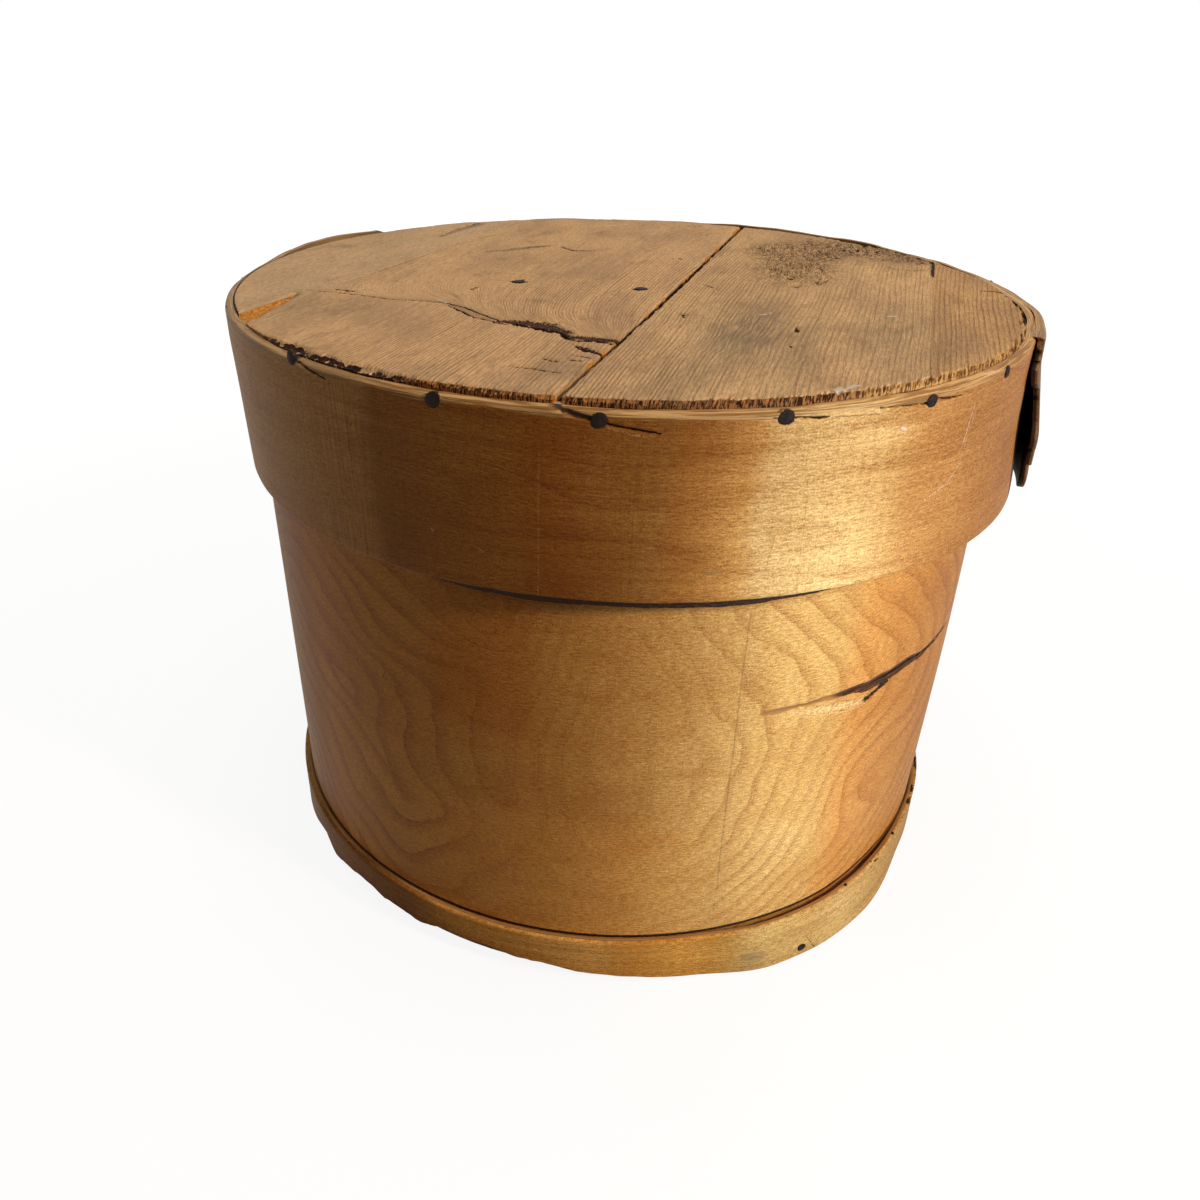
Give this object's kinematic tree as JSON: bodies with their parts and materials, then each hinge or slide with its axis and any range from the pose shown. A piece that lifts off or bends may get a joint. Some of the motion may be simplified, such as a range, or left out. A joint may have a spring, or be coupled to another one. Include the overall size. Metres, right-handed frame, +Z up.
{
  "type": "cheese box",
  "caption": "Round bentwood box with a lapped and nailed side, a hoop round its foot and a lift-off lid of pine boards inside a bent rim.",
  "frame": {"origin": "middle of the underside, on the surface that the box stands on", "axes": "+Z up, -Y towards the front that the picture shows, +X to its right"},
  "size_m": [0.4139, 0.4074, 0.303],
  "materials": {
    "side_veneer": "bare aged rotary-cut veneer, orange tan",
    "rim_veneer": "bare aged veneer, brown tan and handled",
    "hoop_wood": "bare aged wood, worn olive tan",
    "pine_board": "bare weathered pine, grey brown",
    "old_iron": "dark rusted nails"
  },
  "bodies": {
    "box": {"side_band": "side_veneer", "base_hoop": "hoop_wood", "bottom_board_back": "pine_board", "bottom_board_middle": "pine_board", "bottom_board_front": "pine_board", "side_lap_nail_1": "old_iron", "side_lap_nail_2": "old_iron", "side_lap_nail_3": "old_iron", "side_lap_nail_4": "old_iron", "side_lap_nail_5": "old_iron", "side_lap_nail_6": "old_iron", "side_lap_nail_7": "old_iron", "hoop_nail_1": "old_iron", "hoop_nail_2": "old_iron", "hoop_nail_3": "old_iron", "hoop_nail_4": "old_iron", "hoop_nail_5": "old_iron", "hoop_nail_6": "old_iron", "hoop_nail_7": "old_iron", "hoop_nail_8": "old_iron", "hoop_lap_nail_1": "old_iron"},
    "lid": {"lid_board_far_left": "pine_board", "lid_board_left": "pine_board", "lid_board_right": "pine_board", "lid_board_far_right": "pine_board", "lid_rim": "rim_veneer", "lid_cleat": "pine_board", "cleat_nail_1": "old_iron", "cleat_nail_2": "old_iron", "cleat_nail_3": "old_iron", "cleat_nail_4": "old_iron", "cleat_nail_5": "old_iron", "rim_nail_1": "old_iron", "rim_nail_2": "old_iron", "rim_nail_3": "old_iron", "rim_nail_4": "old_iron", "rim_nail_5": "old_iron", "rim_nail_6": "old_iron", "rim_nail_7": "old_iron", "rim_nail_8": "old_iron", "rim_nail_9": "old_iron", "rim_nail_10": "old_iron", "rim_nail_11": "old_iron", "rim_nail_12": "old_iron", "rim_nail_13": "old_iron", "rim_nail_14": "old_iron", "rim_nail_15": "old_iron", "rim_nail_16": "old_iron", "rim_lap_nail_1": "old_iron", "rim_lap_nail_2": "old_iron", "rim_lap_nail_3": "old_iron"}
  },
  "joints": [
    {"name": "lid_lift", "type": "slide", "parent": "box", "child": "lid", "axis": [0, 0, 1], "range_m": [0, 0.3]}
  ]
}
